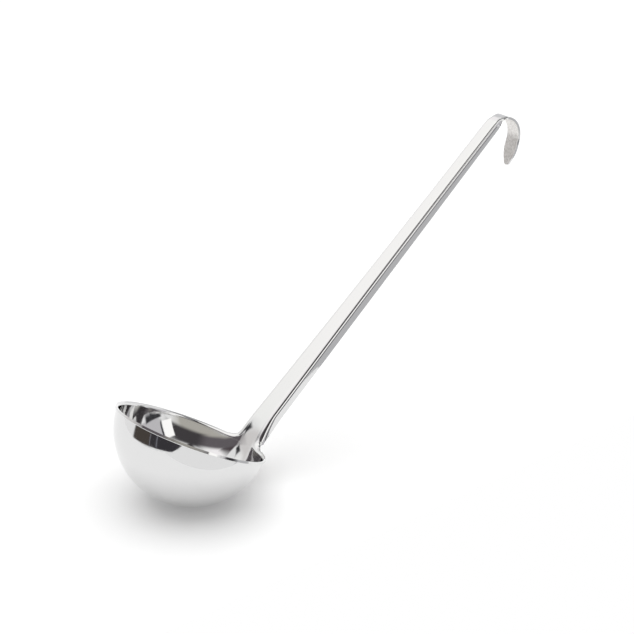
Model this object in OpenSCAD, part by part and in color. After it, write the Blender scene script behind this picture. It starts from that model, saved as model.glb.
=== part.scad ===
// Soup ladle pressed from one sheet of stainless steel, in millimetres.
// The sheet is divided where its forming changes: a drawn bowl, its turned lip,
// the neck, the channel handle, and the hook with its tongue. The parts meet
// face to face, as one sheet does.
// The ladle stands as in use: bowl tipped towards the handle, hook on top.
// The origin is the centre of the hook's bend. X runs from the bowl to the
// hook, Y along the axis of the bend and Z up.

/* [Sheet] */
// Thickness of the steel sheet
sheet_t = 1.5; // [0.8:0.1:2.5]
// Inside radius of the bends along the handle's edges
edge_bend_in_r = 1.3; // [0.5:0.1:2.4]

/* [Bowl] */
// Outside diameter of the bowl where its wall meets the lip
bowl_d = 100; // [70:1:140]
// Depth of the bowl's outside below the top of its wall
bowl_depth = 46.5; // [30:0.5:60]

/* [Rim lip] */
// Inside radius of the lip's bend, under the turned rim
lip_bend_in_r = 0.5; // [0.2:0.1:1.2]
// How far the lip turns over, 90 is flat
lip_turn = 75; // [50:1:85]
// Length of sheet in the lip past its bend
lip_end_len = 0.5; // [0.2:0.1:2]

/* [Neck] */
// Half the angle of the rim that the neck takes up
neck_half_angle = 20; // [18:1:30]
// Height of the neck along the sheet
neck_h = 26; // [24:1:34]
// Radius of the bend from the bowl's wall to the handle
neck_bend_r = 34; // [20:1:45]
// Extra radius of the rounded shoulders at mid neck
shoulder_r = 2.5; // [0:0.1:3.5]
// How far the neck's edge runs on along the rim before it rises
neck_run = 13.5; // [6:0.5:15]
// How far the neck's edge runs down from the handle before it spreads
neck_drop = 22; // [6:0.5:23]

/* [Handle] */
// Angle between the handle and the bowl's axis
handle_lean = 24.85; // [10:0.05:40]
// Length of the channel from the neck to the hook
handle_len = 252.6; // [120:0.1:320]
// Width across the handle at the neck
handle_w = 17.5; // [14:0.1:22]
// Width across the handle's top and the hook
strip_w = 11; // [9:0.1:13]
// Depth of the handle's flanges at the neck
flange_low_depth = 7; // [6:0.1:10]
// Depth of the handle's flanges at the hook
flange_top_depth = 5.2; // [4.5:0.1:7]
// How much deeper than an even taper the flanges are half way up
flange_belly_depth = 0.9; // [0:0.1:1.5]

/* [Hook] */
// Radius of the inside of the hook's bend, the seat on a rail
hook_seat_r = 14.5; // [8:0.5:25]
// Angle through which the strip wraps over the rail
hook_wrap = 145; // [110:1:170]
// Angle of the bend by which the flanges have run out
flange_end_angle = 52; // [35:1:70]
// Length of the straight tongue past the bend
tongue_len = 18; // [12:0.5:30]
// Length over which the tongue narrows to its nose
tongue_taper = 10.5; // [6:0.5:11]
// Radius of the tongue's nose
nose_r = 2.4; // [1.5:0.1:4]

/* [Stance] */
// Angle by which the bowl is tipped towards the handle
stance_tilt = 27.81; // [0:0.01:60]

/* [Hidden] */
$fn = 96;

steel = [0.82, 0.83, 0.85];
steel_dark = [0.66, 0.67, 0.70];

// Steps in each bend, across the face, and along each formed stretch
bend_steps = 5;
face_steps = 8;
neck_steps = 14;
handle_steps = 10;

bowl_r = bowl_d / 2;
// The bowl is a spherical cap with this outside radius
sphere_r = (bowl_r * bowl_r + bowl_depth * bowl_depth) / (2 * bowl_depth);
sphere_z = sphere_r - bowl_depth;
// Radius of the wall's inner face where it meets the lip
wall_in_r = sqrt(pow(sphere_r - sheet_t, 2) - sphere_z * sphere_z);

// The sheet's front face takes the outside of the turned edges' bends
lip_bend_r = lip_bend_in_r + sheet_t;
edge_bend_r = edge_bend_in_r + sheet_t;
hook_out_r = hook_seat_r + sheet_t;

function lerp(a, b, u) = a + (b - a) * u;
function smooth(u) = u * u * (3 - 2 * u);
function unit(v) = v / norm(v);

// Direction and place of the sheet's centre line, v along it from the wall's top
bend_len = neck_bend_r * handle_lean * PI / 180;
function lean_at(v) = handle_lean * min(v / bend_len, 1);
function up_at(v) = [sin(lean_at(v)), 0, cos(lean_at(v))];
function back_at(v) = [cos(lean_at(v)), 0, -sin(lean_at(v))];
function centre_at(v) =
    [wall_in_r + neck_bend_r * (1 - cos(lean_at(v))), 0, neck_bend_r * sin(lean_at(v))]
    + up_at(v) * max(v - bend_len, 0);

// One turned edge: points on the front and on the back of the sheet, from the
// edge of the flat face outwards. side is the way off the sheet, back its back.
function edge_front(start, side, back, r, turn, reach) = concat(
    [for (i = [0 : bend_steps]) let (a = turn * i / bend_steps)
        start + side * r * sin(a) + back * r * (1 - cos(a))],
    [start + side * (r * sin(turn) + reach * cos(turn))
        + back * (r * (1 - cos(turn)) + reach * sin(turn))]);
function edge_back(start, side, back, r, turn, reach) =
    let (q = r - sheet_t) concat(
    [for (i = [0 : bend_steps]) let (a = turn * i / bend_steps)
        start + side * q * sin(a) + back * (r - q * cos(a))],
    [start + side * (q * sin(turn) + reach * cos(turn))
        + back * (r - q * cos(turn) + reach * sin(turn))]);
function flip(points) = [for (i = [len(points) - 1 : -1 : 0]) points[i]];

// Closed sheet between rows of front points and rows of back points
module sheet(front, back) {
    rows = len(front);
    cols = len(front[0]);
    n = rows * cols;
    function at(r, c) = r * cols + c;
    function quad(a, b, c, d) = [[a, b, c], [a, c, d]];
    faces = concat(
        [for (r = [0 : rows - 2], c = [0 : cols - 2], f = quad(
            at(r, c), at(r, c + 1), at(r + 1, c + 1), at(r + 1, c))) f],
        [for (r = [0 : rows - 2], c = [0 : cols - 2], f = quad(
            n + at(r, c), n + at(r + 1, c), n + at(r + 1, c + 1), n + at(r, c + 1))) f],
        [for (c = [0 : cols - 2], f = quad(
            at(0, c), n + at(0, c), n + at(0, c + 1), at(0, c + 1))) f],
        [for (c = [0 : cols - 2], f = quad(
            at(rows - 1, c), at(rows - 1, c + 1),
            n + at(rows - 1, c + 1), n + at(rows - 1, c))) f],
        [for (r = [0 : rows - 2], f = quad(
            at(r, 0), at(r + 1, 0), n + at(r + 1, 0), n + at(r, 0))) f],
        [for (r = [0 : rows - 2], f = quad(
            at(r, cols - 1), n + at(r, cols - 1),
            n + at(r + 1, cols - 1), at(r + 1, cols - 1))) f]);
    polyhedron(points = [for (row = concat(front, back), p = row) p],
        faces = faces, convexity = 8);
}

// Half width of the flat face, without its bends, at the neck's two ends
neck_root_half = wall_in_r * neck_half_angle * PI / 180;
neck_top_half = handle_w / 2 - edge_bend_r;

// The neck's edge is a Bezier curve in the unrolled sheet: across, then along
neck_edge_points = [
    [neck_root_half, 0], [neck_root_half - neck_run, 0],
    [neck_top_half, neck_h - neck_drop], [neck_top_half, neck_h]];
function bezier(p, u) = p[0] * pow(1 - u, 3) + p[1] * 3 * u * pow(1 - u, 2)
    + p[2] * 3 * u * u * (1 - u) + p[3] * pow(u, 3);
function bezier_way(p, u) = unit((p[1] - p[0]) * pow(1 - u, 2)
    + (p[2] - p[1]) * 2 * u * (1 - u) + (p[3] - p[2]) * u * u);

// The neck's edge starts as deep as the lip, and ends as deep as the flanges
lip_depth = lip_bend_r * (1 - cos(lip_turn)) + lip_end_len * sin(lip_turn);

// The wall's roundness fades out up the neck, from the bowl's to a flat face
function round_left(v) = 1 - smooth(v / neck_h);
function wall_y(s) = wall_in_r * sin(s * 180 / (PI * wall_in_r));
function sag(y) = wall_in_r - sqrt(wall_in_r * wall_in_r - y * y);
function sag_slope(y) = y / sqrt(wall_in_r * wall_in_r - y * y);

function neck_row(u, is_front) =
    let (
        e = bezier(neck_edge_points, u),
        way = bezier_way(neck_edge_points, u),
        v = e[1],
        keep = round_left(v),
        c = centre_at(v),
        up = up_at(v),
        back = back_at(v),
        y_edge = lerp(e[0], wall_y(e[0]), keep),
        slope = sag_slope(y_edge) * keep,
        r = lerp(lip_bend_r, edge_bend_r, u) + shoulder_r * sin(180 * u),
        turn = lerp(lip_turn, 90, smooth(u)),
        depth = lerp(lip_depth, flange_low_depth, u),
        reach = max(lip_end_len, (depth - r * (1 - cos(turn))) / sin(turn)),
        face = [for (i = [-face_steps : face_steps])
            let (y = y_edge * i / face_steps,
                n = unit(back + [0, sag_slope(y) * keep, 0]))
            c + [0, y, 0] - back * sag(y) * keep + (is_front ? 0 : 1) * n * sheet_t],
        edges = [for (s = [-1, 1])
            let (
                start = c + [0, s * y_edge, 0] - back * sag(y_edge) * keep,
                across = unit([0, s, 0] - back * slope),
                out = unit(back + [0, s * slope, 0]),
                side = across * way[1] - up * way[0])
            is_front ? edge_front(start, side, out, r, turn, reach)
                : edge_back(start, side, out, r, turn, reach)],
        inner = [for (i = [1 : len(face) - 2]) face[i]])
    concat(flip(edges[0]), inner, edges[1]);

module neck() {
    color(steel)
    sheet([for (k = [0 : neck_steps]) neck_row(k / neck_steps, true)],
        [for (k = [0 : neck_steps]) neck_row(k / neck_steps, false)]);
}

// The handle narrows towards its top along a parabola
function width_at(u) = strip_w + (handle_w - strip_w) * pow(1 - u, 2);
function flange_at(u) = lerp(flange_low_depth, flange_top_depth, u) + flange_belly_depth * 4 * u * (1 - u);

// A channel section across the handle, u is the share of the handle's length
function handle_row(u, is_front) =
    let (
        v = neck_h + handle_len * u,
        c = centre_at(v),
        back = back_at(v),
        half = width_at(u) / 2 - edge_bend_r,
        reach = flange_at(u) - edge_bend_r,
        face = [for (i = [-face_steps + 1 : face_steps - 1])
            c + [0, half * i / face_steps, 0] + (is_front ? 0 : 1) * back * sheet_t],
        edges = [for (s = [-1, 1]) let (start = c + [0, s * half, 0])
            is_front ? edge_front(start, [0, s, 0], back, edge_bend_r, 90, reach)
                : edge_back(start, [0, s, 0], back, edge_bend_r, 90, reach)])
    concat(flip(edges[0]), face, edges[1]);

module handle() {
    color(steel_dark)
    sheet([for (k = [0 : handle_steps]) handle_row(k / handle_steps, true)],
        [for (k = [0 : handle_steps]) handle_row(k / handle_steps, false)]);
}

// The hook's frame: its origin is the bend's centre, X points to the handle's
// back and Z along the handle
hook_v = neck_h + handle_len;
hook_centre = centre_at(hook_v) + back_at(hook_v) * hook_out_r;
module at_hook() {
    translate(hook_centre) rotate([0, handle_lean, 0]) children();
}

// Outlines across the bend: the strip, and what is left of a flange inside it.
// The flange's edge line runs on past the seat, so that it ends in the strip.
module strip_outline() {
    reach = 2 * hook_out_r;
    intersection() {
        difference() {
            circle(r = hook_out_r);
            circle(r = hook_seat_r);
        }
        polygon(concat([[0, 0]], [for (i = [0 : 3])
            let (a = 180 - hook_wrap * i / 3) reach * [cos(a), sin(a)]]));
    }
}
flange_edge = [flange_top_depth - hook_out_r, 0];
run_out = hook_seat_r * [-cos(flange_end_angle), sin(flange_end_angle)];
edge_line_end = lerp(flange_edge, run_out, 1.2);
module flange_end_outline() {
    intersection() {
        circle(r = hook_seat_r + sheet_t / 2);
        polygon([[-hook_out_r, 0], flange_edge, edge_line_end,
            [-hook_out_r, edge_line_end[1]]]);
    }
}

module hook() {
    color(steel)
    at_hook() rotate([90, 0, 0]) {
        linear_extrude(height = strip_w - 2 * sheet_t, center = true) strip_outline();
        for (s = [-1, 1])
            translate([0, 0, s * (strip_w - sheet_t) / 2])
            linear_extrude(height = sheet_t, center = true) {
                strip_outline();
                flange_end_outline();
            }
    }
}

// The nose's centre, and the angle at which the tongue's edges narrow to it
nose_at = tongue_len - nose_r;
taper_run = tongue_taper - nose_r;
taper_angle = atan2(strip_w / 2, taper_run)
    - asin(nose_r / norm([taper_run, strip_w / 2]));
nose_steps = 8;

module tongue_outline() {
    half = strip_w / 2;
    shoulder = tongue_len - tongue_taper;
    polygon(concat(
        [[0, -half], [shoulder, -half]],
        [for (i = [-nose_steps : nose_steps])
            let (a = i / nose_steps * (90 - taper_angle))
            [nose_at + nose_r * cos(a), nose_r * sin(a)]],
        [[shoulder, half], [0, half]]));
}

module hook_tongue() {
    color(steel_dark)
    at_hook() rotate([0, hook_wrap - 90, 0])
    translate([0, 0, hook_seat_r]) linear_extrude(height = sheet_t) tongue_outline();
}

// 2D section of the lip, x from the bowl's axis and y up
lip_start = [wall_in_r, 0];
module lip_section() {
    polygon(concat(
        edge_front(lip_start, [0, 1], [1, 0], lip_bend_r, lip_turn, lip_end_len),
        flip(edge_back(lip_start, [0, 1], [1, 0], lip_bend_r, lip_turn, lip_end_len))));
}

module rim_lip() {
    color(steel_dark)
    rotate([0, 0, neck_half_angle])
    rotate_extrude(angle = 360 - 2 * neck_half_angle) lip_section();
}

module bowl() {
    color(steel)
    rotate_extrude()
    intersection() {
        translate([0, sphere_z]) difference() {
            circle(r = sphere_r);
            circle(r = sphere_r - sheet_t);
        }
        translate([0, -bowl_depth]) square([sphere_r, bowl_depth]);
    }
}

// Turns the upright ladle to its stance, with the hook's centre at the origin
module stance() {
    rotate([0, stance_tilt, 0]) translate(-hook_centre) children();
}

stance() bowl();
stance() rim_lip();
stance() neck();
stance() handle();
stance() hook();
stance() hook_tongue();
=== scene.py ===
# %% [markdown]
# # A soup ladle of polished stainless steel
#
# The real ladle is pressed from one sheet of steel: a round bowl, a narrow lip, a neck,
# a channel-shaped handle and a hook. A polished metal is nothing but its reflections, so
# the sheet has to be one unbroken surface, with no seam where one form ends and the next
# begins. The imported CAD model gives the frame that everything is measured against.

# %% Load the frame
import math

import bmesh
import bpy
from mathutils import Matrix, Vector


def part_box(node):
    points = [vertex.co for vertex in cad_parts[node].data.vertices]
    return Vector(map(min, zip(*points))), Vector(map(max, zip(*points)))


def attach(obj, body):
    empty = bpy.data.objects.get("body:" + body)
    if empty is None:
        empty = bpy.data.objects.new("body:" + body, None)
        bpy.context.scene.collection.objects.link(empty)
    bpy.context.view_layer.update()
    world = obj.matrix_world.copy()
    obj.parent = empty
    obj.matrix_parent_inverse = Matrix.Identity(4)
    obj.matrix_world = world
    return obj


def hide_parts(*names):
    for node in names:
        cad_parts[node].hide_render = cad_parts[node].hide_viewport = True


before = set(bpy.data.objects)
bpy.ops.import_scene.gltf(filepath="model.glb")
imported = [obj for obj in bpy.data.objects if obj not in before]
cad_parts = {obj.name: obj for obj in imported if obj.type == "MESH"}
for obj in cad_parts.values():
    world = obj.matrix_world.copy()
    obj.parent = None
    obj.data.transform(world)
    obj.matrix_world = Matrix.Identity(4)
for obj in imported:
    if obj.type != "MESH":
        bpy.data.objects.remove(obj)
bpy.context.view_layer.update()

# %% [markdown]
# ## Camera
#
# The photograph was taken from about 1.25 m away with a long lens, looking down at the
# ladle by 25 degrees, from the bowl's side. A camera looks along its own -Z axis, so its
# turn is built from the direction it looks in and from the world's up.

# %% Camera
VIEW_AZIMUTH = math.radians(49.03)    # of the direction looked in, from +X towards +Y
VIEW_DOWN = math.radians(24.57)
CAMERA_PLACE = Vector((-0.9068, -0.8534, 0.4306))
FIELD_OF_VIEW = math.radians(19.0)
NEAR_CLIP = 0.01                      # m

look = Vector((math.cos(VIEW_AZIMUTH) * math.cos(VIEW_DOWN),
               math.sin(VIEW_AZIMUTH) * math.cos(VIEW_DOWN), -math.sin(VIEW_DOWN)))
camera_data = bpy.data.cameras.new("camera")
camera_data.angle = FIELD_OF_VIEW
camera_data.clip_start = NEAR_CLIP
camera = bpy.data.objects.new("camera", camera_data)
bpy.context.scene.collection.objects.link(camera)
camera.location = CAMERA_PLACE
camera.rotation_euler = look.to_track_quat("-Z", "Y").to_euler()
bpy.context.scene.camera = camera
print("camera at", tuple(CAMERA_PLACE))

# %% [markdown]
# ## The sheet's sizes
#
# The ladle is modelled upright, with the bowl's axis along Z and the top of its wall at
# z = 0, because that is how its forms are easiest to describe. It is turned to its
# stance at the end. The sizes are the part's own, in millimetres, turned into metres.

# %% Sizes
MM = 0.001
SHEET = 1.5 * MM
BOWL_RADIUS = 50 * MM              # outside, where the wall meets the lip
BOWL_DEPTH = 46.5 * MM
LIP_BEND = 2.0 * MM                # radius that the lip's front face turns over
LIP_TURN = math.radians(75)
LIP_END = 0.5 * MM                 # straight bit past the lip's bend
NECK_HALF_ANGLE = math.radians(20)    # half of the rim's arc that the neck takes
NECK_HEIGHT = 26 * MM              # along the centre line
NECK_BEND = 34 * MM                # radius of the CAD model's neck
SHOULDER = 2.5 * MM                # how much rounder the turned edge is half-way up
LEAN = math.radians(24.85)         # of the handle, from the bowl's axis
HANDLE_LENGTH = 252.6 * MM
HANDLE_WIDTH = 17.5 * MM
STRIP_WIDTH = 11 * MM
EDGE_BEND = 2.8 * MM               # radius that the handle's edges turn back over
FLANGE_LOW, FLANGE_TOP = 7.0 * MM, 5.2 * MM    # depth at the neck and at the hook
FLANGE_BELLY = 0.9 * MM            # deeper by this much half-way
HOOK_SEAT = 14.5 * MM              # radius inside the hook
HOOK_WRAP = math.radians(145)
FLANGE_END = math.radians(52)      # of the bend, where the flanges have run out
TONGUE_LENGTH, TONGUE_TAPER, NOSE = 18 * MM, 10.5 * MM, 2.4 * MM
STANCE = math.radians(27.81)

# The bowl is part of a sphere; its inner face is the sheet's front face
SPHERE = (BOWL_RADIUS ** 2 + BOWL_DEPTH ** 2) / (2 * BOWL_DEPTH)
SPHERE_Z = SPHERE - BOWL_DEPTH
SPHERE_IN = SPHERE - SHEET
WALL_IN = math.sqrt(SPHERE_IN ** 2 - SPHERE_Z ** 2)
WALL_LEAN = math.asin(SPHERE_Z / SPHERE_IN)
HOOK_OUT = HOOK_SEAT + SHEET
print("inner sphere", round(SPHERE_IN / MM, 2), "mm")
print("wall at the lip", round(WALL_IN / MM, 2), "mm")

# %% [markdown]
# ## The bowl
#
# The bowl was drawn over a round punch. A UV sphere has the same round form, and its
# rings run parallel to the rim. A bisect cuts it off at the rim, which leaves one clean
# loop of edges for the lip and the neck to grow from.

# %% Bowl
def deselect_all():
    if bpy.context.object and bpy.context.object.mode != "OBJECT":
        bpy.ops.object.mode_set(mode="OBJECT")
    bpy.ops.object.select_all(action="DESELECT")


SEGMENTS, RINGS = 144, 72
deselect_all()
bpy.ops.mesh.primitive_uv_sphere_add(segments=SEGMENTS, ring_count=RINGS, radius=SPHERE_IN,
                                     location=(0, 0, SPHERE_Z))
ladle = bpy.context.object
ladle.name = "ladle_sheet"
bpy.ops.object.transform_apply(location=True)
bpy.ops.object.mode_set(mode="EDIT")
bpy.ops.mesh.select_all(action="SELECT")
bpy.ops.mesh.bisect(plane_co=(0, 0, 0), plane_no=(0, 0, 1), clear_outer=True)
bpy.ops.mesh.select_mode(type="EDGE")
print("bowl:", len(ladle.data.vertices), "points before the cut")

# %% [markdown]
# ## The lip
#
# Around the free rim the sheet is turned outwards over a small radius, so the edge is
# stiff and doesn't cut. Each extrusion of the rim's edges is one step of that bend: the
# new edges are lifted, and then spread about the bowl's axis by a resize. Where the
# neck will rise, the rim is left out. By hand, such edges are picked by clicking; here
# a test on each point's place picks them.

# %% Select by place
def edges_where(test):
    """Selects the edges whose two ends both pass the test, and nothing else."""
    mesh = bmesh.from_edit_mesh(ladle.data)
    for part in (mesh.verts, mesh.edges, mesh.faces):
        for element in part:
            element.select = False
    chosen = [e for e in mesh.edges if all(test(v.co) for v in e.verts)]
    for edge in chosen:
        edge.select_set(True)
    bmesh.update_edit_mesh(ladle.data)
    return len(chosen)


def azimuth(point):
    return abs(math.atan2(point.y, point.x))


ON_RIM = 0.01 * MM
ANGLE_SLACK = math.radians(0.1)

# %% [markdown]
# The same turned edge runs on along the handle, deeper and over a larger radius, so one
# function gives the profile of both: an arc and a short straight end. On the bowl's
# round wall a resize about the axis follows the rim exactly, with no path to draw.

# %% Turned edge
BEND_STEPS = 8
END_STEPS = 2


def edge_profile(bend, turn, end):
    """The front face of a turned edge: (out along the sheet, back) for each step."""
    angles = [turn * i / BEND_STEPS for i in range(BEND_STEPS + 1)]
    points = [(bend * math.sin(a), bend * (1 - math.cos(a))) for a in angles]
    last = points[-1]
    ends = [end * k / END_STEPS for k in range(1, END_STEPS + 1)]
    return points + [(last[0] + e * math.cos(turn), last[1] + e * math.sin(turn)) for e in ends]


# The wall leans outwards a little at the rim, and the lip starts in its direction
lip = [(a * math.cos(WALL_LEAN) - b * math.sin(WALL_LEAN),
        a * math.sin(WALL_LEAN) + b * math.cos(WALL_LEAN))
       for a, b in edge_profile(LIP_BEND, LIP_TURN, LIP_END)]
lip_from = NECK_HALF_ANGLE - ANGLE_SLACK
count = edges_where(lambda p: abs(p.z) < ON_RIM and azimuth(p) > lip_from)
radius = WALL_IN
for (rise, _), (next_rise, next_out) in zip(lip, lip[1:]):
    bpy.ops.mesh.extrude_region_move(
        TRANSFORM_OT_translate={"value": (0, 0, next_rise - rise)})
    next_radius = WALL_IN + next_out
    spread = next_radius / radius
    bpy.ops.transform.resize(value=(spread, spread, 1), center_override=(0, 0, 0))
    radius = next_radius
print("lip:", count, "edges extruded", len(lip) - 1, "times")
print("lip ends", round(radius / MM, 2), "mm from the bowl's axis")

# %% [markdown]
# ## The centre line
#
# From the rim, the sheet's middle leans back into the handle, runs straight, and bends
# over into the hook. Everything from the neck on is a row of points square to this
# line, so one function gives the place, the way up and the way back at any length v.

# %% Centre line
def cad_line(v):
    """The handle's straight line in the CAD model, which the sheet has to meet."""
    rest = v - NECK_BEND * LEAN
    return Vector((WALL_IN + NECK_BEND * (1 - math.cos(LEAN)) + rest * math.sin(LEAN), 0,
                   NECK_BEND * math.sin(LEAN) + rest * math.cos(LEAN)))


def up_way(lean):
    return Vector((math.sin(lean), 0, math.cos(lean)))


def back_way(lean):
    return Vector((math.cos(lean), 0, -math.sin(lean)))


def bezier(points, t):
    a, b, c, d = points
    return (a * (1 - t) ** 3 + b * (3 * t * (1 - t) ** 2)
            + c * (3 * t * t * (1 - t)) + d * t ** 3)


def bezier_slope(points, t):
    a, b, c, d = points
    return ((b - a) * (1 - t) ** 2 + (c - b) * (2 * t * (1 - t)) + (d - c) * t * t) * 3


NECK_PULL = 9 * MM                 # how far the curve keeps to each end's direction
neck_foot = Vector((WALL_IN, 0, 0))
neck_top = cad_line(NECK_HEIGHT)
neck_line = (neck_foot, neck_foot + up_way(WALL_LEAN) * NECK_PULL,
             neck_top - up_way(LEAN) * NECK_PULL, neck_top)


def neck_frame(v):
    t = v / NECK_HEIGHT
    slope = bezier_slope(neck_line, t).normalized()
    return bezier(neck_line, t), slope, Vector((slope.z, 0, -slope.x))


print("neck rises to", [round(c / MM, 2) for c in neck_top])

# %% [markdown]
# ## The neck
#
# The rim's own curve, the two ends of the lip and the bowl's edge between them are the
# neck's first row. The row keeps its points as it climbs: the round wall turns flat, and
# the lip's turned edge swings from over the rim to along the handle. Where such a curve
# is drawn by hand with loop cuts and proportional editing, code can place each point of
# the extruded row instead, and the steel stays perfectly smooth.

# %% Row of the neck
FACE_STEPS = 16


def smooth(t):
    t = min(max(t, 0), 1)
    return t * t * (3 - 2 * t)


def mix(a, b, t):
    return a + (b - a) * t


def width_at(t):
    return STRIP_WIDTH + (HANDLE_WIDTH - STRIP_WIDTH) * (1 - t) ** 2


def flange_at(t):
    return mix(FLANGE_LOW, FLANGE_TOP, t) + FLANGE_BELLY * 4 * t * (1 - t)


# How far the neck's side line runs in along the rim, and down along the handle's side
NECK_RUN, NECK_DROP = 13.5 * MM, 22 * MM
root_half = WALL_IN * NECK_HALF_ANGLE
top_half = HANDLE_WIDTH / 2 - EDGE_BEND
side_slope = (HANDLE_WIDTH - STRIP_WIDTH) / HANDLE_LENGTH
neck_edge = (Vector((root_half, 0)), Vector((root_half - NECK_RUN, 0)),
             Vector((top_half + side_slope * NECK_DROP, NECK_HEIGHT - NECK_DROP)),
             Vector((top_half, NECK_HEIGHT)))


def full_row(face, edge_start, side, out, bend, turn, end):
    """A whole row: the turned edge on one side, the flat face, the turned edge again."""
    steps = edge_profile(bend, turn, end)
    right = [edge_start + side * a + out * b for a, b in steps]
    mirror = [Vector((p.x, -p.y, p.z)) for p in right]
    return mirror[::-1] + face + right


def neck_row(t):
    place, way = bezier(neck_edge, t), bezier_slope(neck_edge, t).normalized()
    v = place.y
    centre, up, back = neck_frame(v)
    keep = 1 - smooth(v / NECK_HEIGHT)
    edge_y = mix(place.x, WALL_IN * math.sin(place.x / WALL_IN), keep)

    def on_face(length):
        y = mix(length, WALL_IN * math.sin(length / WALL_IN), keep)
        sag = WALL_IN - math.sqrt(WALL_IN ** 2 - y * y)
        return centre + Vector((-sag * keep, y, 0))

    slope = edge_y / math.sqrt(WALL_IN ** 2 - edge_y ** 2) * keep
    swing = Matrix.Rotation(math.atan(slope), 3, "Z")
    across, up, out = swing @ Vector((0, 1, 0)), swing @ up, swing @ back
    bend = mix(LIP_BEND, EDGE_BEND, t) + SHOULDER * math.sin(math.pi * t)
    turn = mix(LIP_TURN, math.pi / 2, smooth(t))
    lip_deep = LIP_BEND * (1 - math.cos(LIP_TURN)) + LIP_END * math.sin(LIP_TURN)
    deep = mix(lip_deep, FLANGE_LOW, t)
    end = max(LIP_END, (deep - bend * (1 - math.cos(turn))) / math.sin(turn))
    side = across * way.y - up * way.x
    face = [on_face(place.x * (2 * i / FACE_STEPS - 1)) for i in range(1, FACE_STEPS)]
    return full_row(face, on_face(place.x), side, out, bend, turn, end)


ROW_POINTS = len(neck_row(0))
print("a row has", ROW_POINTS, "points")

# %% [markdown]
# ## The handle, hook and tongue
#
# The handle is a channel: a flat face with both edges turned back, which makes a thin
# sheet stiff. It narrows towards its top. In the hook the turned edges open out again
# until the strip is plain, and the tongue narrows to a round nose.

# %% Rows of the handle and hook
def channel_row(centre, back, half_width, bend, turn, end):
    """A straight row: a flat face with both edges turned back."""
    used = bend * math.sin(turn) + end * math.cos(turn)
    half = half_width - used
    face = [centre + Vector((0, half * (2 * i / FACE_STEPS - 1), 0))
            for i in range(1, FACE_STEPS)]
    edge_start = centre + Vector((0, half, 0))
    return full_row(face, edge_start, Vector((0, 1, 0)), back, bend, turn, end)


def handle_row(t):
    centre = cad_line(NECK_HEIGHT + HANDLE_LENGTH * t)
    return channel_row(centre, back_way(LEAN), width_at(t) / 2, EDGE_BEND, math.pi / 2,
                       flange_at(t) - EDGE_BEND)


hook_centre = cad_line(NECK_HEIGHT + HANDLE_LENGTH) + back_way(LEAN) * HOOK_OUT
PLAIN_TURN, PLAIN_END = math.radians(9), 0.3 * MM    # what the plain strip keeps of it
FADE_END = 1.25                    # the last trace of the turn, as a share of FLANGE_END


def hook_row(angle):
    lean = LEAN + angle
    fade = smooth(angle / (FLANGE_END * FADE_END))
    turn = mix(math.pi / 2, PLAIN_TURN, fade)
    end = mix(FLANGE_TOP - EDGE_BEND, PLAIN_END, smooth(angle / FLANGE_END))
    centre = hook_centre - back_way(lean) * HOOK_OUT
    return channel_row(centre, back_way(lean), STRIP_WIDTH / 2, EDGE_BEND, turn, end)


print("hook centre, upright:", [round(c / MM, 3) for c in hook_centre])

# %% [markdown]
# The tongue is the straight end of the strip, cut to a round nose so that it slides over
# a rail. Its sides draw in slowly at first and then faster. The last row is bowed into
# the nose's arc, which is simpler than cutting a shape out of a finished strip and
# leaves no long thin faces.

# %% Rows of the tongue
NOSE_SPREAD = math.radians(72)     # of the nose's arc that the last row covers
NARROW_FROM = 0.7                  # of the tongue's wide part, where it starts to narrow
NARROW_POWER = 1.7                 # 1 would be a straight taper
BOW_POWER = 4                      # keeps the rows straight until close to the nose


def tongue_row(t):
    lean = LEAN + HOOK_WRAP
    start = hook_row(HOOK_WRAP)
    way, back = up_way(lean), back_way(lean)
    root = hook_centre - back * HOOK_OUT
    arc_foot = TONGUE_LENGTH - NOSE * (1 - math.cos(NOSE_SPREAD))
    along = arc_foot * t
    wide_end = (TONGUE_LENGTH - TONGUE_TAPER) * NARROW_FROM
    narrow = max(0.0, (along - wide_end) / (arc_foot - wide_end)) ** NARROW_POWER
    half = mix(STRIP_WIDTH / 2, NOSE * math.sin(NOSE_SPREAD), narrow)
    bow = t ** BOW_POWER
    row = []
    for p in start:
        share = p.y / (STRIP_WIDTH / 2)
        lift = (p - root).dot(back) * (1 - smooth(t))
        round_y = math.sin(NOSE_SPREAD * share) / math.sin(NOSE_SPREAD)
        ahead = NOSE * (math.cos(NOSE_SPREAD * share) - math.cos(NOSE_SPREAD)) * bow
        row.append(root + Vector((0, half * mix(share, round_y, bow), 0))
                   + way * (along + ahead) + back * lift)
    return row


print("tongue ends", round(TONGUE_LENGTH / MM, 1), "mm past the bend")

# %% [markdown]
# ## Extruding the rows
#
# Each vertex of the first row gets a number, and an extrusion hands the number on to
# the new vertex. After each extrude operator, a vertex looks up its own place in the
# next row by that number.

# %% Number the first row
SAME_PLACE = 0.02 * MM
bpy.ops.object.mode_set(mode="EDIT")
mesh = bmesh.from_edit_mesh(ladle.data)
column = mesh.verts.layers.int.new("column")
first_row = neck_row(0)
for number, place in enumerate(first_row, start=1):
    nearest = min(mesh.verts, key=lambda v: (v.co - place).length)
    gap = (nearest.co - place).length
    assert gap < SAME_PLACE, (number, gap / MM)
    nearest[column] = number
for part in (mesh.verts, mesh.edges, mesh.faces):
    for element in part:
        element.select = False
for edge in mesh.edges:
    a, b = (v[column] for v in edge.verts)
    if a and b and abs(a - b) == 1:
        edge.select_set(True)
selected = sum(e.select for e in mesh.edges)
bmesh.update_edit_mesh(ladle.data)
print("first row:", selected, "edges of", ROW_POINTS - 1)

# %% [markdown]
# The rows lie closer where the sheet bends, so that the mirror sees smooth curves, and
# further apart on the straight handle. At the end the doubled points are merged and the
# normals are made to agree, before the sheet gets its thickness.

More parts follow.
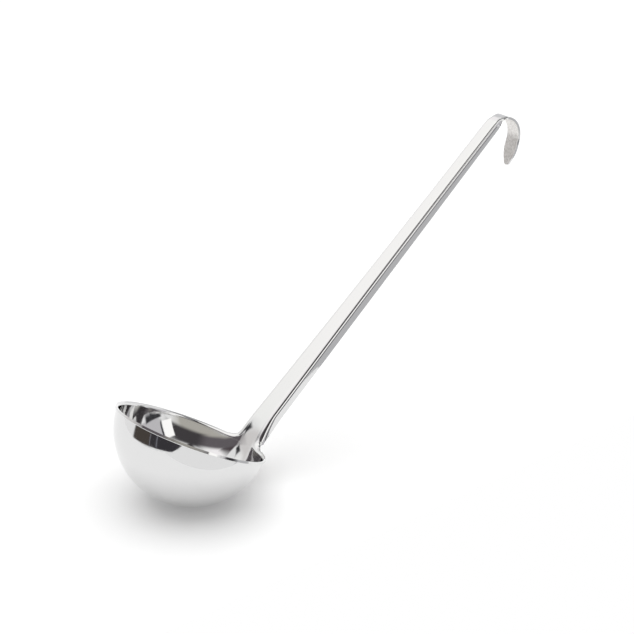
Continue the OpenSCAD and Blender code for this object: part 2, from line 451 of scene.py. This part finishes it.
# %% Extrude row by row
NECK_ROWS, HANDLE_ROWS, HOOK_ROWS, TONGUE_ROWS = 26, 40, 36, 18
MERGE = 0.001 * MM
rows = [neck_row(k / NECK_ROWS) for k in range(1, NECK_ROWS + 1)]
rows += [handle_row(k / HANDLE_ROWS) for k in range(1, HANDLE_ROWS + 1)]
rows += [hook_row(HOOK_WRAP * k / HOOK_ROWS) for k in range(1, HOOK_ROWS + 1)]
rows += [tongue_row(k / TONGUE_ROWS) for k in range(1, TONGUE_ROWS + 1)]
for row in rows:
    bpy.ops.mesh.extrude_region_move(TRANSFORM_OT_translate={"value": (0, 0, 0)})
    mesh = bmesh.from_edit_mesh(ladle.data)
    column = mesh.verts.layers.int["column"]
    for vertex in mesh.verts:
        if vertex.select:
            vertex.co = row[vertex[column] - 1]
    bmesh.update_edit_mesh(ladle.data)
bpy.ops.mesh.select_all(action="SELECT")
bpy.ops.mesh.remove_doubles(threshold=MERGE)
bpy.ops.mesh.normals_make_consistent(inside=False)
bpy.ops.object.mode_set(mode="OBJECT")
print("sheet:", len(ladle.data.vertices), "points,", len(ladle.data.polygons), "faces")

# %% [markdown]
# ## Easing the root
#
# On the real ladle the press has not left a crease where the bowl turns into the neck:
# the wall starts to lean outwards a little below the rim, and the polish shows that as a
# light funnel. Moving points by a smooth function of their place, as proportional
# editing does by hand, adds this lean without disturbing anything further away.

# %% Ease the root
EASE = 1.2 * MM
EASE_FROM, EASE_MOST = -13 * MM, 5 * MM    # heights where it starts and where it is most
EASE_SIDE, EASE_FADE = 18 * MM, 14 * MM    # how far to the side it ends, and fades over


def lean_out(place):
    rises = smooth((place.z - EASE_FROM) / (EASE_MOST - EASE_FROM))
    falls = smooth((NECK_HEIGHT - place.z) / (NECK_HEIGHT - EASE_MOST))
    nears = smooth((EASE_SIDE - abs(place.y)) / EASE_FADE)
    return EASE * rises * falls * nears if place.x > 0 else 0


for vertex in ladle.data.vertices:
    vertex.co.x += lean_out(vertex.co)
print("most:", round(max(lean_out(v.co) for v in ladle.data.vertices) / MM, 2), "mm")

# %% [markdown]
# ## Stance
#
# The finished surface is turned to the stance in which the ladle was photographed, with
# the middle of the hook's bend at the origin. Applying the turn moves it into the mesh,
# so the object itself stays at the origin, unturned.

# %% Turn to the stance
stance = Matrix.Rotation(STANCE, 4, "Y") @ Matrix.Translation(-hook_centre)
ladle.location = stance.to_translation()
ladle.rotation_euler = stance.to_euler()
deselect_all()
ladle.select_set(True)
bpy.context.view_layer.objects.active = ladle
bpy.ops.object.transform_apply(location=True, rotation=True)
print("lowest point:", round(min(v.co.z for v in ladle.data.vertices) / MM, 2), "mm")

# %% [markdown]
# ## Thickness and edges
#
# Solidify gives the sheet its 1.5 mm, grown away from the bowl's inside. A cut sheet has
# no knife edge: a narrow bevel along the border takes off the arris and catches a thin
# line of light. Weighted normals keep the broad faces flat right up to that bevel. The
# strip has a satin back and the bowl doesn't, so the strip's faces get a slot of their
# own, and Solidify moves their backs on to the next one.

# %% Thickness and edges
POLISHED, POLISHED_STRIP, REVERSE = 0, 1, 2
BEVEL, BEVEL_STEPS, SHARP = 0.22 * MM, 3, math.radians(50)
NORMAL_WEIGHT = 50


def apply_modifier(piece, kind, **settings):
    modifier = piece.modifiers.new(kind.lower(), kind)
    for name, value in settings.items():
        setattr(modifier, name, value)
    bpy.ops.object.modifier_apply(modifier=modifier.name)


lowest = min(ladle.data.polygons, key=lambda f: f.center.z)
grows = 1 if lowest.normal.z < 0 else -1
print("face normals point", "out of" if grows > 0 else "into", "the bowl")
for slot in (POLISHED, POLISHED_STRIP, REVERSE):
    ladle.data.materials.append(None)      # filled when the steels are made
for face in ladle.data.polygons:
    upright = stance.inverted() @ face.center
    face.material_index = POLISHED_STRIP if upright.z > NECK_HEIGHT / 2 else POLISHED
apply_modifier(ladle, "SOLIDIFY", thickness=SHEET, offset=grows, use_even_offset=True,
               material_offset=REVERSE - POLISHED_STRIP)
apply_modifier(ladle, "BEVEL", width=BEVEL, segments=BEVEL_STEPS, limit_method="ANGLE",
               angle_limit=SHARP, harden_normals=False)
bpy.ops.object.shade_smooth()
apply_modifier(ladle, "WEIGHTED_NORMAL", keep_sharp=False, weight=NORMAL_WEIGHT)
print("ladle:", len(ladle.data.polygons), "faces")

# %% [markdown]
# ## Colours and nodes
#
# A material is a tree of nodes. Colours are written as the sRGB hex values that a colour
# picker shows, and turned into the linear numbers that a renderer works with. One small
# function adds a node with its settings and its links, as a hand would in the editor.

# %% Node helper
def linear(hex_colour):
    """An sRGB hex colour as the linear numbers that shader sockets take."""
    parts = [int(hex_colour[i:i + 2], 16) / 255 for i in (1, 3, 5)]
    return [p / 12.92 if p <= 0.04045 else ((p + 0.055) / 1.055) ** 2.4 for p in parts] + [1.0]


def add_node(tree, kind, inputs=None, **settings):
    """Adds one node; an input is either a value or the output socket that feeds it."""
    node = tree.nodes.new(kind)
    for name, value in settings.items():
        setattr(node, name, value)
    for name, value in (inputs or {}).items():
        if isinstance(value, bpy.types.NodeSocket):
            tree.links.new(value, node.inputs[name])
        else:
            node.inputs[name].default_value = value
    return node


# %% [markdown]
# ## Polished stainless steel
#
# Stainless steel 18/10 is drawn, then polished with a buffing wheel. What the eye gets
# is a nearly sharp, slightly wavy mirror that takes a little light away. The waves are
# what makes it look pressed and not machined, so they are in the bump; the buffing marks
# are in the bump and the roughness, and soften the reflections unevenly.

# %% Polished steel
WAVE, WAVE_DEPTH = 28 * MM, 0.05 * MM
# Buffing marks are hairlines of 0.05 mm; at 3 mm they can be seen at this picture's size
MARK, MARK_DEPTH = 3 * MM, 0.0012 * MM
MIRROR_SHARP, MIRROR_SOFT = 0.035, 0.085    # roughness between and in the marks
polished = bpy.data.materials.new("stainless_steel_polished")
polished.use_nodes = True
tree = polished.node_tree
bsdf = tree.nodes["Principled BSDF"]
bsdf.inputs["Base Color"].default_value = linear("#DCDCDC")
bsdf.inputs["Metallic"].default_value = 1.0
place = add_node(tree, "ShaderNodeTexCoord").outputs["Object"]
waves = add_node(tree, "ShaderNodeTexNoise", {"Vector": place, "Scale": 1 / WAVE,
                                              "Detail": 1.0})
marks = add_node(tree, "ShaderNodeTexNoise", {"Vector": place, "Scale": 1 / MARK,
                                              "Detail": 3.0})
shine = add_node(tree, "ShaderNodeMapRange", {"Value": marks.outputs[0], "From Min": 0.3,
                 "From Max": 0.7, "To Min": MIRROR_SHARP, "To Max": MIRROR_SOFT})
tree.links.new(shine.outputs[0], bsdf.inputs["Roughness"])
hollows = add_node(tree, "ShaderNodeBump", {"Height": waves.outputs[0],
                                            "Distance": WAVE_DEPTH})
hairlines = add_node(tree, "ShaderNodeBump", {"Height": marks.outputs[0],
                     "Distance": MARK_DEPTH, "Normal": hollows.outputs[0]})
tree.links.new(hairlines.outputs[0], bsdf.inputs["Normal"])
print("polished steel:", len(tree.nodes), "nodes")

# %% [markdown]
# ## Satin stainless steel
#
# The inside of the hook's tongue looks unbuffed, so the back of the whole strip is taken
# to keep the dull face of the rolled sheet. What the eye gets is a soft, speckled light
# grey with no clear reflection. One noise, stretched along the strip, drives the colour,
# the roughness and the bump together, because on the real sheet they are one grain.

# %% Satin reverse
# The real grain is about 0.2 mm wide; 1.1 mm keeps it visible from this far
GRAIN, GRAIN_DEPTH = 1.1 * MM, 0.12 * MM
GRAIN_STRETCH = 3
SATIN_SHARP, SATIN_SOFT = 0.34, 0.5         # roughness on and between the grains
reverse = bpy.data.materials.new("stainless_steel_satin")
reverse.use_nodes = True
tree = reverse.node_tree
bsdf = tree.nodes["Principled BSDF"]
bsdf.inputs["Metallic"].default_value = 1.0
place = add_node(tree, "ShaderNodeTexCoord").outputs["Object"]
along = add_node(tree, "ShaderNodeMapping", {"Vector": place, "Scale": (1, 1, GRAIN_STRETCH),
                 "Rotation": (0, LEAN + STANCE, 0)}, vector_type="TEXTURE")
grain = add_node(tree, "ShaderNodeTexNoise", {"Vector": along.outputs[0],
                 "Scale": 1 / GRAIN, "Detail": 2.0})
contrast = add_node(tree, "ShaderNodeMapRange", {"Value": grain.outputs[0], "From Min": 0.35,
                                                 "From Max": 0.65})
speckle = add_node(tree, "ShaderNodeMixRGB", {0: contrast.outputs[0], 1: linear("#D4D1CE"),
                                              2: linear("#F0EEEC")})
tree.links.new(speckle.outputs[0], bsdf.inputs["Base Color"])
dull = add_node(tree, "ShaderNodeMapRange", {"Value": grain.outputs[0], "From Min": 0.3,
                "From Max": 0.7, "To Min": SATIN_SHARP, "To Max": SATIN_SOFT})
tree.links.new(dull.outputs[0], bsdf.inputs["Roughness"])
pits = add_node(tree, "ShaderNodeBump", {"Height": grain.outputs[0],
                                         "Distance": GRAIN_DEPTH})
tree.links.new(pits.outputs[0], bsdf.inputs["Normal"])
print("satin steel:", len(tree.nodes), "nodes")

# %% [markdown]
# The faces already know their slots, so the steels only have to be put into them.

# %% Steel on the faces
for slot, steel in ((POLISHED, polished), (POLISHED_STRIP, polished), (REVERSE, reverse)):
    ladle.data.materials[slot] = steel
for slot, name in ((POLISHED, "bowl"), (POLISHED_STRIP, "strip, front"),
                   (REVERSE, "strip, back")):
    print(name, sum(f.material_index == slot for f in ladle.data.polygons), "faces")

# %% [markdown]
# ## Paper floor
#
# The ladle stands on white paper, matt and a little under white, as real paper is. The
# rest up to white is a faint glow that only the camera and mirrored or refracted rays
# see, so that the paper reads as plain white and still keeps the soft shadow under the
# bowl. It reaches far behind the ladle, where the camera looks, and ends close in front
# of it, because the bowl mirrors the paper's near edge and a dark table side beyond.

# %% Floor
PAPER_MIDDLE, PAPER_SIZE = (1.35, 0.945), (4, 2.11)    # m
PAPER_LIFT = 0.12
deselect_all()
bpy.ops.mesh.primitive_plane_add(size=1, location=(*PAPER_MIDDLE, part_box("bowl")[0][2]))
floor = bpy.context.object
floor.scale = (*PAPER_SIZE, 1)
bpy.ops.object.transform_apply(location=False, rotation=False, scale=True)
floor.name = "floor"
paper = bpy.data.materials.new("white_paper")
paper.use_nodes = True
tree = paper.node_tree
bsdf = tree.nodes["Principled BSDF"]
bsdf.inputs["Base Color"].default_value = linear("#F8F8F8")
bsdf.inputs["Roughness"].default_value = 1.0
bsdf.inputs["Specular IOR Level"].default_value = 0.0
ray = add_node(tree, "ShaderNodeLightPath")
seen = add_node(tree, "ShaderNodeMath", {0: ray.outputs["Is Camera Ray"],
                                         1: ray.outputs["Is Glossy Ray"]}, operation="ADD")
seen = add_node(tree, "ShaderNodeMath", {0: seen.outputs[0],
                1: ray.outputs["Is Transmission Ray"]}, operation="ADD")
glow = add_node(tree, "ShaderNodeMath", {0: seen.outputs[0], 1: PAPER_LIFT},
                operation="MULTIPLY")
bsdf.inputs["Emission Color"].default_value = linear("#FFFFFF")
tree.links.new(glow.outputs[0], bsdf.inputs["Emission Strength"])
floor.data.materials.append(paper)
print("paper, m:", [round(c, 3) for c in floor.dimensions])

# %% [markdown]
# ## Lamp
#
# One very wide lamp overhead makes the soft shadow. A sun is used, because its light is
# even everywhere and its angle alone sets how soft the shadow is. Lamp and world
# together light a level surface at about 1, so that a colour renders as it is written.
# The metal mirrors the painted room instead of the lamp's disc.

# %% Lamp overhead
LAMP_WIDTH, LAMP_ENERGY = math.radians(75), 1.9
WORLD_LEVEL = 0.42                 # the world's even share, set in a cell below
LAMP_PLACE = (-0.27, 0, 1)         # m, over the bowl; a sun lights the same from anywhere
bpy.ops.object.light_add(type="SUN", location=LAMP_PLACE)
lamp = bpy.context.object
lamp.name = "overhead_lamp"
lamp.data.angle = LAMP_WIDTH
lamp.data.energy = LAMP_ENERGY
lamp.visible_glossy = False
print("light on a level surface:", round(WORLD_LEVEL + LAMP_ENERGY / math.pi, 2))

# %% [markdown]
# ## What the polish mirrors
#
# A polished ladle has hardly any colour of its own: it shows the room. The room is
# painted on the world as a few soft-edged cards, each with the direction to its middle
# (turn from +X, which is the way the handle points, and height above the horizon), its
# size and its tone. The soft box, the ceiling and the window give light, so they are a
# little brighter than white. Real panels around the ladle would cast shadows and stand
# in the way from other sides; painted ones don't.

# %% Cards
# name, turn, height and tilt in degrees, half width and half height, edge, colour, strength
CARDS = [
    ("beige wall", 205, 27, 2, 54, 16, 0.12, "#C1BEB6", 1.0),
    ("soft box", 106, 64, 35, 40, 20, 0.13, "#FFFCFD", 1.18),
    ("ceiling", 187, 87, 0, 48, 16, 0.5, "#FFFFFC", 1.29),
    ("near grey wall", 138, 22, 12, 28, 11, 0.35, "#E8E5E4", 1.0),
    ("dark room, left", 158, 34, 9, 7.5, 13, 0.27, "#544B4F", 1.0),
    ("dark room", 206.6, 45.7, 3, 48.5, 8.4, 0.34, "#6C676B", 1.0),
    ("dark room, right", 251.7, 35, -33, 30.7, 10.6, 0.3, "#494648", 1.0),
    ("dark beam", 135, 34.6, -3, 5.4, 2.8, 0.3, "#3C3C3F", 1.0),
    ("grey wall, behind", 45, 12, 0, 22, 20, 0.3, "#E3E3E5", 1.0),
    ("dark room, high", 262, 62, 0, 17, 10, 0.15, "#494648", 1.0),
    ("dark room, behind", 10, 47, 0, 17, 10, 0.15, "#444448", 1.0),
    ("dark room, above", 312, 65, 0, 10, 8, 0.2, "#444448", 1.0),
    ("grey card", 301.5, 14, 0, 17, 17, 0.1, "#D4D2D5", 1.0),
    ("window", 274, 20, -3, 7.5, 13, 0.08, "#FFFEFC", 1.34),
    ("window frame", 284, 18, -5, 1.3, 13, 0.3, "#48484C", 1.0),
    ("dark corner", 294, -8, 0, 13, 8, 0.15, "#3E3E41", 1.0),
    ("grey table top", 313, -27, 0, 13, 17, 0.2, "#CACACC", 1.0),
    ("table side", 180, 2, 0, 38.5, 9.5, 0.05, "#3E3C40", 1.0),
    ("paper corner", 216.6, -8.6, 35, 12, 8, 0.08, "#FFFFFF", 1.0),
    ("brown door", 156, 2, 0, 14, 9.5, 0.2, "#4F4944", 1.0),
    ("left stand", 170, 2, 0, 0.5, 8, 0.5, "#898992", 1.0),
    ("right stand", 181, 2, 0, 0.9, 8.5, 0.5, "#7B7B83", 1.0),
]
print(len(CARDS), "cards")

# %% [markdown]
# ## The painted room
#
# A card is a patch of directions. A Mapping node turns the direction until the card's
# middle lies along X, and divides it by the card's size, so that the patch ends where Y
# or Z passes 1, and fades over its edge. Each card covers what was painted before it.

# %% Room
world = bpy.data.worlds.new("studio")
bpy.context.scene.world = world
world.use_nodes = True
tree = world.node_tree
tree.nodes.clear()
direction = add_node(tree, "ShaderNodeTexCoord").outputs["Generated"]
room = add_node(tree, "ShaderNodeRGB").outputs[0]
room.default_value = linear("#FFFFFF")
for _, turn, height, tilt, half_width, half_height, edge, colour, strength in CARDS:
    size = (1.0, math.sin(math.radians(half_width)), math.sin(math.radians(half_height)))
    facing = Matrix.Rotation(math.radians(turn), 3, "Z") @ Matrix.Rotation(
        math.radians(-height), 3, "Y") @ Matrix.Rotation(math.radians(tilt), 3, "X")
    place = add_node(tree, "ShaderNodeMapping", {"Vector": direction, "Scale": size,
                     "Rotation": facing.to_euler()}, vector_type="TEXTURE")
    split = add_node(tree, "ShaderNodeSeparateXYZ", {0: place.outputs[0]})
    aside = add_node(tree, "ShaderNodeMath", {0: split.outputs["Y"]}, operation="ABSOLUTE")
    above = add_node(tree, "ShaderNodeMath", {0: split.outputs["Z"]}, operation="ABSOLUTE")
    off = add_node(tree, "ShaderNodeMath", {0: aside.outputs[0], 1: above.outputs[0]},
                   operation="MAXIMUM")
    shown = add_node(tree, "ShaderNodeMapRange", {"Value": off.outputs[0],
                     "From Min": 1 + edge, "From Max": 1 - edge},
                     interpolation_type="SMOOTHSTEP")
    ahead = add_node(tree, "ShaderNodeMath", {0: split.outputs["X"], 1: 0.0},
                     operation="GREATER_THAN")
    mask = add_node(tree, "ShaderNodeMath", {0: shown.outputs[0], 1: ahead.outputs[0]},
                    operation="MULTIPLY")
    tone = [strength * c for c in linear(colour)[:3]] + [1.0]
    painted = add_node(tree, "ShaderNodeMixRGB", {0: mask.outputs[0], 1: room, 2: tone})
    room = painted.outputs[0]
print("room:", len(tree.nodes), "nodes")

# %% [markdown]
# ## What each ray sees
#
# The metal mirrors the painted room, the camera sees plain white behind the ladle, and
# everything else is lit by an even white of its own. Light Path tells the rays apart.

# %% World
mirrored = add_node(tree, "ShaderNodeBackground", {"Color": room, "Strength": 1.0})
plain = add_node(tree, "ShaderNodeBackground", {"Color": linear("#FFFFFF"),
                                                "Strength": WORLD_LEVEL})
white = add_node(tree, "ShaderNodeBackground", {"Color": linear("#FFFFFF"), "Strength": 1.0})
ray = add_node(tree, "ShaderNodeLightPath")
lit = add_node(tree, "ShaderNodeMixShader", {0: ray.outputs["Is Glossy Ray"],
               1: plain.outputs[0], 2: mirrored.outputs[0]})
looked_at = add_node(tree, "ShaderNodeMixShader", {0: ray.outputs["Is Camera Ray"],
                     1: lit.outputs[0], 2: white.outputs[0]})
add_node(tree, "ShaderNodeOutputWorld", {0: looked_at.outputs[0]})
bpy.context.scene.view_settings.view_transform = "Standard"
print("world:", len(tree.nodes), "nodes")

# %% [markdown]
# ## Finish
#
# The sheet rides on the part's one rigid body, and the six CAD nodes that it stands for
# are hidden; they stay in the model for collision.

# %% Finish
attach(ladle, "root")
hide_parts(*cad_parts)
